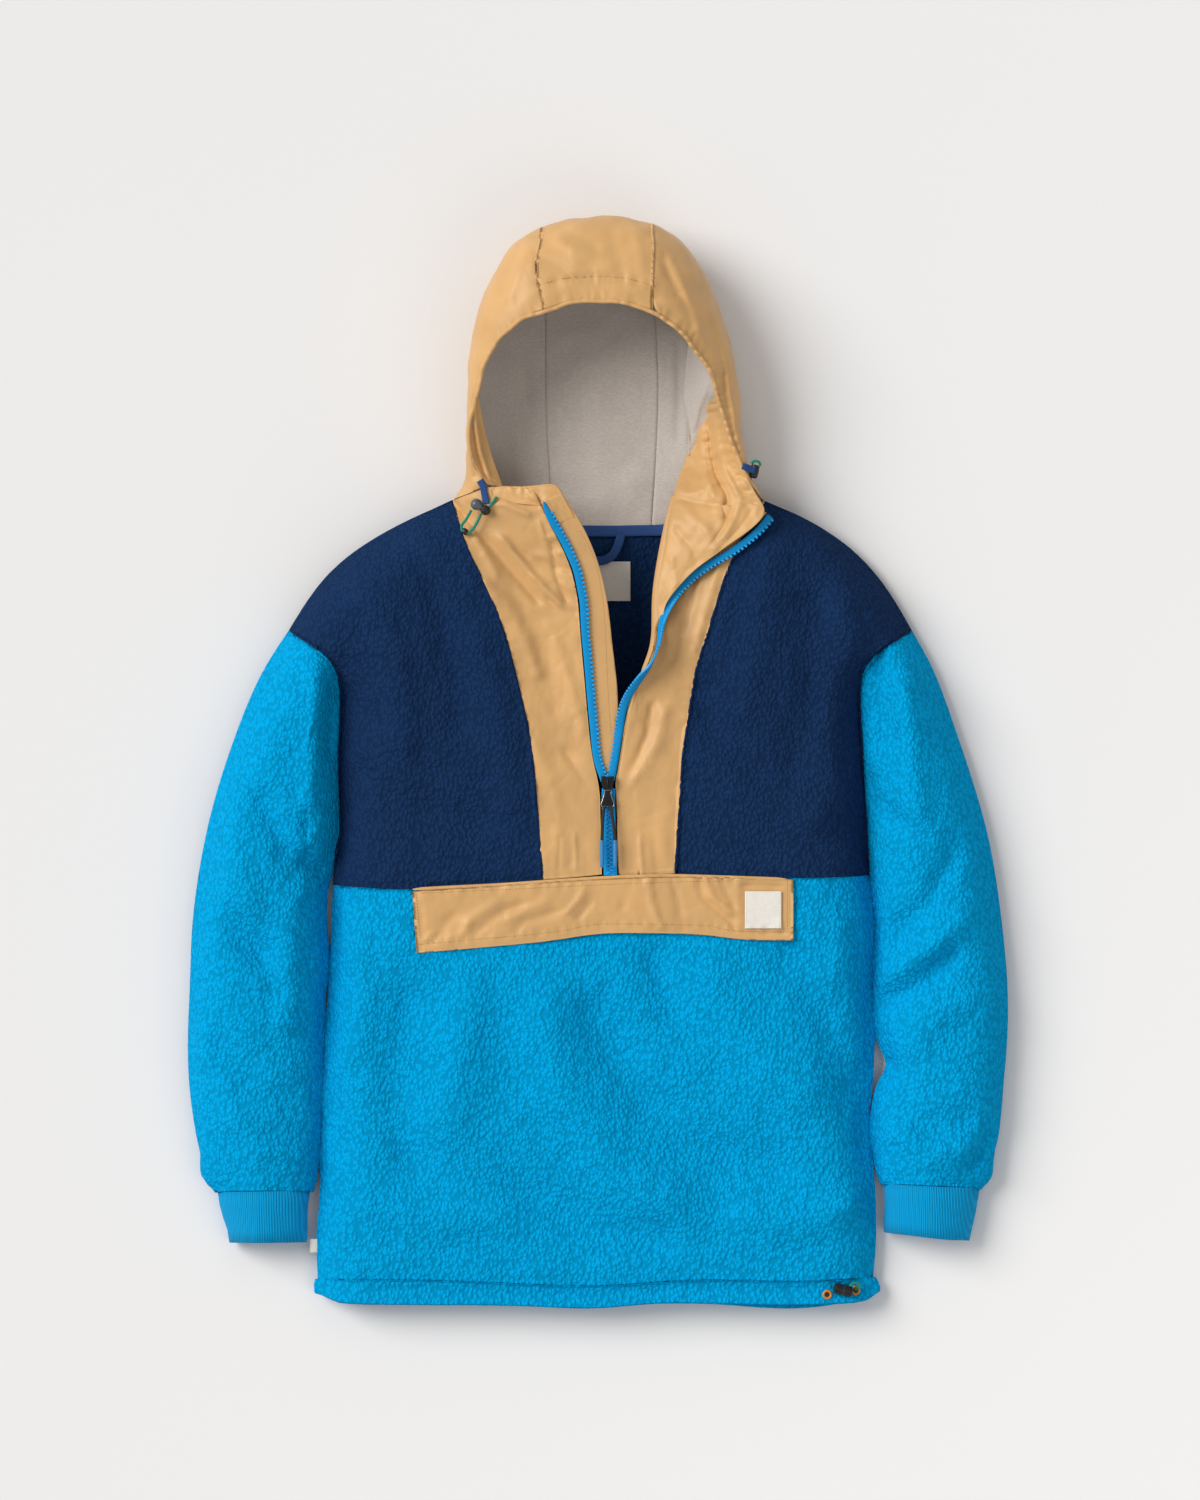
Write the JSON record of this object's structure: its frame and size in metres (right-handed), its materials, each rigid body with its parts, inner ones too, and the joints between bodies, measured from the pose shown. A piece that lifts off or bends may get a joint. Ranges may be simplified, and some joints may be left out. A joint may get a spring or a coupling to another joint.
{
  "type": "hooded fleece jacket",
  "caption": "Hooded overhead fleece with a half zip, woven yoke trim, ribbed cuffs and a drawcord hem, laid flat, front up.",
  "frame": {"origin": "middle of the footprint, on the surface that the garment lies on", "axes": "+Y from the hem to the hood, +Z out of the garment's front, +X to its left side as worn"},
  "size_m": [0.7388, 0.9863, 0.1065],
  "materials": {
    "blue_fleece": "deep-pile boucle fleece, matte",
    "blue_rib": "rib knit, matte",
    "navy_fleece": "short fleece, matte",
    "tan_nylon": "crisp woven nylon, slight sheen",
    "heather_jersey": "marled knit jersey, matte",
    "royal_tape": "twill tape",
    "cream_weave": "woven label, plain",
    "zip_teeth": "moulded teeth on a woven tape",
    "zip_metal": "black painted metal",
    "pull_plastic": "moulded plastic",
    "black_cord": "braided cord",
    "black_plastic": "moulded plastic",
    "green_cord": "round elastic cord",
    "amber_eyelet": "moulded ring"
  },
  "bodies": {
    "garment": {"front_lower": "blue_fleece", "front_yoke_left": "navy_fleece", "front_yoke_right": "navy_fleece", "placket_left": "tan_nylon", "placket_right": "tan_nylon", "facing_right": "tan_nylon", "zip_guard": "tan_nylon", "pocket_flap": "tan_nylon", "flap_patch": "cream_weave", "back_lower": "blue_fleece", "back_yoke": "navy_fleece", "sleeve_left": "blue_fleece", "sleeve_right": "blue_fleece", "cuff_left": "blue_rib", "cuff_right": "blue_rib", "hem_front": "blue_fleece", "hem_back": "blue_fleece", "hood_centre": "tan_nylon", "hood_side_left": "tan_nylon", "hood_side_right": "tan_nylon", "lining_centre": "heather_jersey", "lining_left": "heather_jersey", "lining_right": "heather_jersey", "hood_facing_left": "tan_nylon", "hood_facing_right": "tan_nylon", "neck_tape": "royal_tape", "hang_loop": "royal_tape", "neck_label": "cream_weave", "side_tag": "cream_weave", "zip_tape_left": "zip_teeth", "zip_tape_right": "zip_teeth", "zip_slider": "zip_metal", "lock_loop_left": "royal_tape", "lock_loop_right": "royal_tape", "cord_lock_left": "black_plastic", "cord_lock_right": "black_plastic", "hood_cord_left": "green_cord", "hood_cord_left_end": "green_cord", "hood_cord_right": "green_cord", "hem_eyelet_1": "amber_eyelet", "hem_eyelet_2": "amber_eyelet", "hem_cord_lock": "black_plastic", "hem_cord": "green_cord"},
    "zip_pull": {"zip_pull_tab": "zip_metal", "pull_cord_left": "black_cord", "pull_cord_right": "black_cord", "pull_tip_left": "pull_plastic", "pull_tip_right": "pull_plastic"}
  },
  "joints": [
    {"name": "zip_pull_hinge", "type": "hinge", "parent": "garment", "child": "zip_pull", "pos_m": [0.0095, -0.0276, 0.0576], "axis": [-1, 0, 0], "range_deg": [0, 100]}
  ]
}
